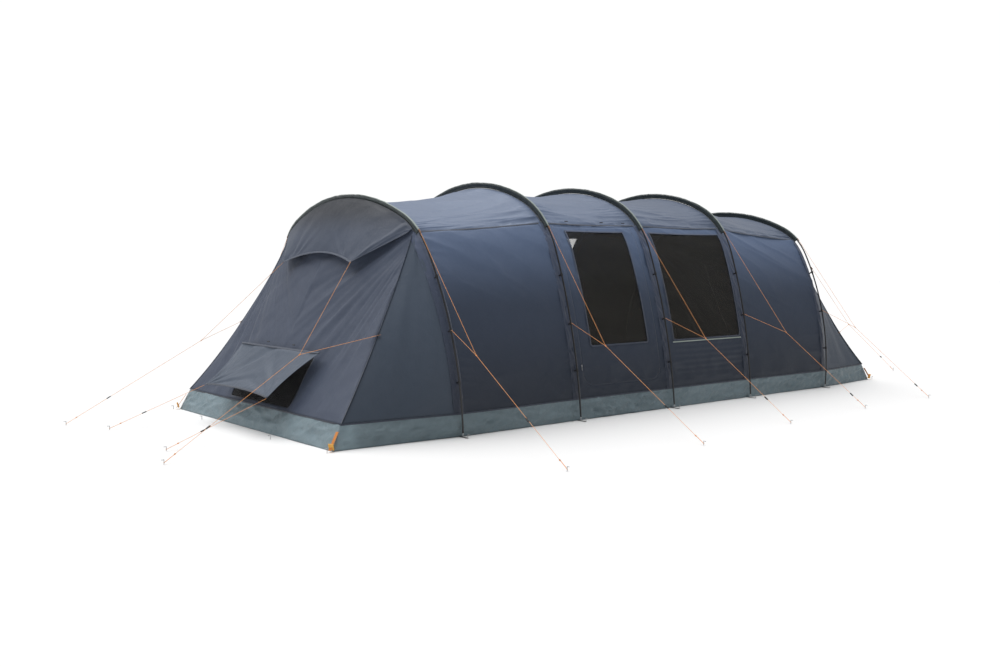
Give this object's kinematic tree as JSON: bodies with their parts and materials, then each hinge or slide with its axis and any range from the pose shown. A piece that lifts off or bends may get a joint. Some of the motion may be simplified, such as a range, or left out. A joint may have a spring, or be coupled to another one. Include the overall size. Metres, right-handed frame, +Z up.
{
  "type": "tunnel tent",
  "caption": "Long tunnel tent on arched poles, with a side door, tinted windows, a hooded vent end, mud wall, guy lines and pegs.",
  "frame": {"origin": "on the ground, midway between the outermost pegs, on the tent's middle plane", "axes": "+X along the tent from the low vent end to the rear door end, +Y across to the far side, +Z up"},
  "size_m": [9.36, 5.96, 2.1102],
  "materials": {
    "pole": "satin black coat",
    "sleeve_fabric": "woven polyester, dark green-grey",
    "black_plastic": "moulded, matt",
    "plated_steel": "zinc plated",
    "peg_steel": "galvanised",
    "black_webbing": "woven webbing",
    "orange_webbing": "woven webbing",
    "roof_fabric": "coated polyester, slate blue-grey",
    "end_fabric": "coated polyester, slate",
    "wall_fabric": "coated polyester, dark slate",
    "mesh": "fine black mesh",
    "mudwall_fabric": "coated fabric, grey-green",
    "groundsheet_fabric": "laminated sheet",
    "window_film": "dark tinted clear film",
    "zip_tape": "woven tape with coil",
    "zip_metal": "dull metal",
    "guy_cord": "braided orange cord"
  },
  "bodies": {
    "tent": {"pole_1": "pole", "pole_2": "pole", "pole_3": "pole", "pole_4": "pole", "pole_5": "pole", "pole_sleeves": "sleeve_fabric", "pole_clips": "black_plastic", "ring_pins": "plated_steel", "foot_straps": "black_webbing", "corner_straps": "orange_webbing", "roof_1": "roof_fabric", "roof_2": "roof_fabric", "roof_3": "roof_fabric", "roof_4": "roof_fabric", "wall_near_1": "wall_fabric", "wall_near_2": "wall_fabric", "wall_near_3": "wall_fabric", "wall_near_4": "wall_fabric", "wall_far_1": "wall_fabric", "wall_far_2": "wall_fabric", "wall_far_3": "wall_fabric", "wall_far_4": "wall_fabric", "front_panel": "end_fabric", "front_gussets": "wall_fabric", "hood": "roof_fabric", "vent_mesh": "mesh", "rear_panel": "end_fabric", "rear_gussets": "wall_fabric", "mudwall": "mudwall_fabric", "groundsheet": "groundsheet_fabric", "side_door_zip": "zip_tape", "toggles": "black_plastic", "window_near_3": "window_film", "window_far_2": "window_film", "window_far_3": "window_film", "side_guys": "guy_cord", "end_guys": "guy_cord", "pegs": "peg_steel"},
    "side_door": {"side_door": "wall_fabric", "side_door_window": "window_film"},
    "rear_door": {"rear_door": "end_fabric"},
    "vent_flap": {"vent_flap": "roof_fabric"},
    "zip_slider": {"zip_slider": "zip_metal"},
    "slider_n1": {"slider_n1": "black_plastic"},
    "slider_f1": {"slider_f1": "black_plastic"},
    "slider_n2": {"slider_n2": "black_plastic"},
    "slider_f2": {"slider_f2": "black_plastic"},
    "slider_n3": {"slider_n3": "black_plastic"},
    "slider_f3": {"slider_f3": "black_plastic"},
    "slider_n4": {"slider_n4": "black_plastic"},
    "slider_f4": {"slider_f4": "black_plastic"},
    "slider_n5": {"slider_n5": "black_plastic"},
    "slider_f5": {"slider_f5": "black_plastic"},
    "slider_hood_n": {"slider_hood_n": "black_plastic"},
    "slider_flap_n": {"slider_flap_n": "black_plastic"},
    "slider_rear_n": {"slider_rear_n": "black_plastic"},
    "slider_hood_f": {"slider_hood_f": "black_plastic"},
    "slider_flap_f": {"slider_flap_f": "black_plastic"},
    "slider_rear_f": {"slider_rear_f": "black_plastic"}
  },
  "joints": [
    {"name": "side_door_lift", "type": "hinge", "parent": "tent", "child": "side_door", "pos_m": [-0.575, -1.00718, 1.68486], "axis": [-1, 0, 0], "range_deg": [0, 85]},
    {"name": "rear_door_lift", "type": "hinge", "parent": "tent", "child": "rear_door", "pos_m": [2.82999, 0, 1.323], "axis": [0, -1, 0], "range_deg": [0, 70]},
    {"name": "vent_flap_tilt", "type": "hinge", "parent": "tent", "child": "vent_flap", "pos_m": [-3.24125, 0, 0.65], "axis": [0, 1, 0], "range_deg": [-22, 40]},
    {"name": "door_zip", "type": "hinge", "parent": "tent", "child": "zip_slider", "pos_m": [-1.08, 3.86883, -0.43197], "axis": [-1, 0, 0], "range_deg": [-1, 10.2]},
    {"name": "adjust_n1", "type": "slide", "parent": "tent", "child": "slider_n1", "axis": [-0.0996, -0.8579, -0.504], "range_m": [-0.2, 0.05]},
    {"name": "adjust_f1", "type": "slide", "parent": "tent", "child": "slider_f1", "axis": [-0.0996, 0.8579, -0.504], "range_m": [-0.2, 0.05]},
    {"name": "adjust_n2", "type": "slide", "parent": "tent", "child": "slider_n2", "axis": [-0.0434, -0.8532, -0.5198], "range_m": [-0.2, 0.05]},
    {"name": "adjust_f2", "type": "slide", "parent": "tent", "child": "slider_f2", "axis": [-0.0434, 0.8532, -0.5198], "range_m": [-0.2, 0.05]},
    {"name": "adjust_n3", "type": "slide", "parent": "tent", "child": "slider_n3", "axis": [0.0179, -0.8071, -0.5901], "range_m": [-0.2, 0.05]},
    {"name": "adjust_f3", "type": "slide", "parent": "tent", "child": "slider_f3", "axis": [0.0179, 0.8071, -0.5901], "range_m": [-0.2, 0.05]},
    {"name": "adjust_n4", "type": "slide", "parent": "tent", "child": "slider_n4", "axis": [0.0907, -0.773, -0.6279], "range_m": [-0.2, 0.05]},
    {"name": "adjust_f4", "type": "slide", "parent": "tent", "child": "slider_f4", "axis": [0.0907, 0.773, -0.6279], "range_m": [-0.2, 0.05]},
    {"name": "adjust_n5", "type": "slide", "parent": "tent", "child": "slider_n5", "axis": [0.019, -0.7798, -0.6257], "range_m": [-0.2, 0.05]},
    {"name": "adjust_f5", "type": "slide", "parent": "tent", "child": "slider_f5", "axis": [0.019, 0.7798, -0.6257], "range_m": [-0.2, 0.05]},
    {"name": "adjust_hood_n", "type": "slide", "parent": "tent", "child": "slider_hood_n", "axis": [-0.8566, -0.13, -0.4994], "range_m": [-0.2, 0.05]},
    {"name": "adjust_flap_n", "type": "slide", "parent": "tent", "child": "slider_flap_n", "axis": [-0.9381, -0.0304, -0.3452], "range_m": [-0.2, 0.05]},
    {"name": "adjust_rear_n", "type": "slide", "parent": "tent", "child": "slider_rear_n", "axis": [0.8956, 0.1162, -0.4294], "range_m": [-0.2, 0.05]},
    {"name": "adjust_hood_f", "type": "slide", "parent": "tent", "child": "slider_hood_f", "axis": [-0.8566, 0.13, -0.4994], "range_m": [-0.2, 0.05]},
    {"name": "adjust_flap_f", "type": "slide", "parent": "tent", "child": "slider_flap_f", "axis": [-0.9381, 0.0304, -0.3452], "range_m": [-0.2, 0.05]},
    {"name": "adjust_rear_f", "type": "slide", "parent": "tent", "child": "slider_rear_f", "axis": [0.8956, -0.1162, -0.4294], "range_m": [-0.2, 0.05]}
  ]
}
